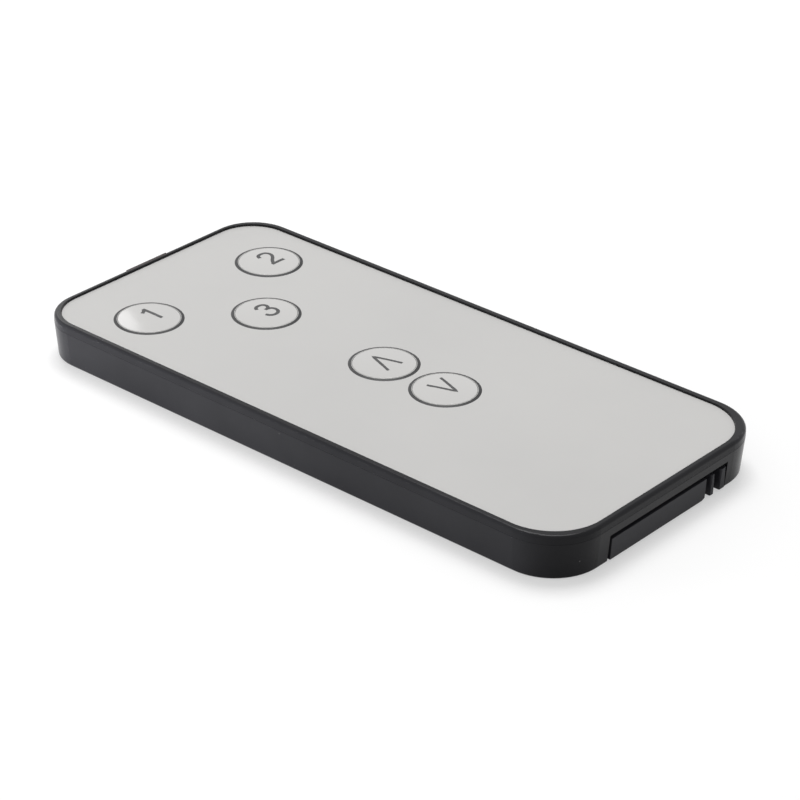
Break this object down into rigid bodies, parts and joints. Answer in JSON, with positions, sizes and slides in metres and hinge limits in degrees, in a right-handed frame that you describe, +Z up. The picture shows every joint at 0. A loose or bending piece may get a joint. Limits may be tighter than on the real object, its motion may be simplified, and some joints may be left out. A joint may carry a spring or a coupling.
{
  "type": "infrared remote control",
  "caption": "Slim card-style infrared remote control with round membrane keys, a raised dark rim and a slide-out coin cell tray.",
  "frame": {"origin": "under the middle of the whole object, on the surface that its flat back rests on", "axes": "+Z up out of the keys, +Y lengthwise to the emitter end, -Y to the battery tray end, +X across"},
  "size_m": [0.04, 0.0862, 0.0058],
  "materials": {
    "case_plastic": "fine-grained moulded black plastic",
    "tray_plastic": "smooth moulded black plastic",
    "faceplate_film": "satin light grey printed film",
    "key_film": "semi-gloss embossed light grey film",
    "adhesive": "translucent adhesive sheet",
    "window_plastic": "polished dark infrared filter",
    "dome_steel": "bright spring steel",
    "clear_film": "thin clear film",
    "board_laminate": "green-masked laminate with copper tracks",
    "chip_plastic": "black moulded resin",
    "tinned_metal": "tinned, satin",
    "resonator_coating": "dipped resin",
    "resistor_ceramic": "glazed ceramic",
    "capacitor_ceramic": "ceramic",
    "lamp_lens": "clear bluish resin",
    "spring_metal": "nickel plated spring strip",
    "cell_steel": "polished nickel plated steel",
    "gasket_rubber": "moulded seal",
    "cell_metal": "soft metal disc",
    "cell_paste": "pressed powder disc"
  },
  "bodies": {
    "case": {"bottom_shell": "case_plastic", "top_frame": "case_plastic", "faceplate": "faceplate_film", "faceplate_adhesive": "adhesive", "emitter_window": "window_plastic", "dome_film": "clear_film", "circuit_board": "board_laminate", "encoder_chip": "chip_plastic", "encoder_chip_legs": "tinned_metal", "timing_resonator": "resonator_coating", "resonator_leads": "tinned_metal", "driver_transistor": "chip_plastic", "transistor_legs": "tinned_metal", "chip_resistors": "resistor_ceramic", "chip_capacitors": "capacitor_ceramic", "chip_end_caps": "tinned_metal", "emitter_lamp": "lamp_lens", "emitter_leads": "tinned_metal", "cell_contact_side": "spring_metal", "cell_contact_face": "spring_metal", "dome_1": "dome_steel", "dome_2": "dome_steel", "dome_3": "dome_steel", "dome_up": "dome_steel", "dome_down": "dome_steel"},
    "pad_1": {"key_1": "key_film"},
    "pad_2": {"key_2": "key_film"},
    "pad_3": {"key_3": "key_film"},
    "pad_up": {"key_up": "key_film"},
    "pad_down": {"key_down": "key_film"},
    "tray": {"battery_tray": "tray_plastic", "cell_can": "cell_steel", "cell_cap": "cell_steel", "cell_gasket": "gasket_rubber", "cell_anode": "cell_metal", "cell_cathode": "cell_paste"},
    "latch": {"tray_latch": "tray_plastic"}
  },
  "joints": [
    {"name": "key_1_press", "type": "slide", "parent": "case", "child": "pad_1", "axis": [0, 0, -1], "range_m": [0, 0.00025], "stiffness_N_per_m": 4000, "deforming": ["dome_1"]},
    {"name": "key_2_press", "type": "slide", "parent": "case", "child": "pad_2", "axis": [0, 0, -1], "range_m": [0, 0.00025], "stiffness_N_per_m": 4000, "deforming": ["dome_2"]},
    {"name": "key_3_press", "type": "slide", "parent": "case", "child": "pad_3", "axis": [0, 0, -1], "range_m": [0, 0.00025], "stiffness_N_per_m": 4000, "deforming": ["dome_3"]},
    {"name": "key_up_press", "type": "slide", "parent": "case", "child": "pad_up", "axis": [0, 0, -1], "range_m": [0, 0.00025], "stiffness_N_per_m": 4000, "deforming": ["dome_up"]},
    {"name": "key_down_press", "type": "slide", "parent": "case", "child": "pad_down", "axis": [0, 0, -1], "range_m": [0, 0.00025], "stiffness_N_per_m": 4000, "deforming": ["dome_down"]},
    {"name": "tray_slide", "type": "slide", "parent": "case", "child": "tray", "axis": [0, -1, 0], "range_m": [0, 0.026]},
    {"name": "latch_pinch", "type": "hinge", "parent": "tray", "child": "latch", "pos_m": [0.01095, -0.032, 0.0018], "axis": [0, 0, -1], "range_deg": [0, 4.4], "stiffness_Nm_per_rad": 0.25}
  ]
}
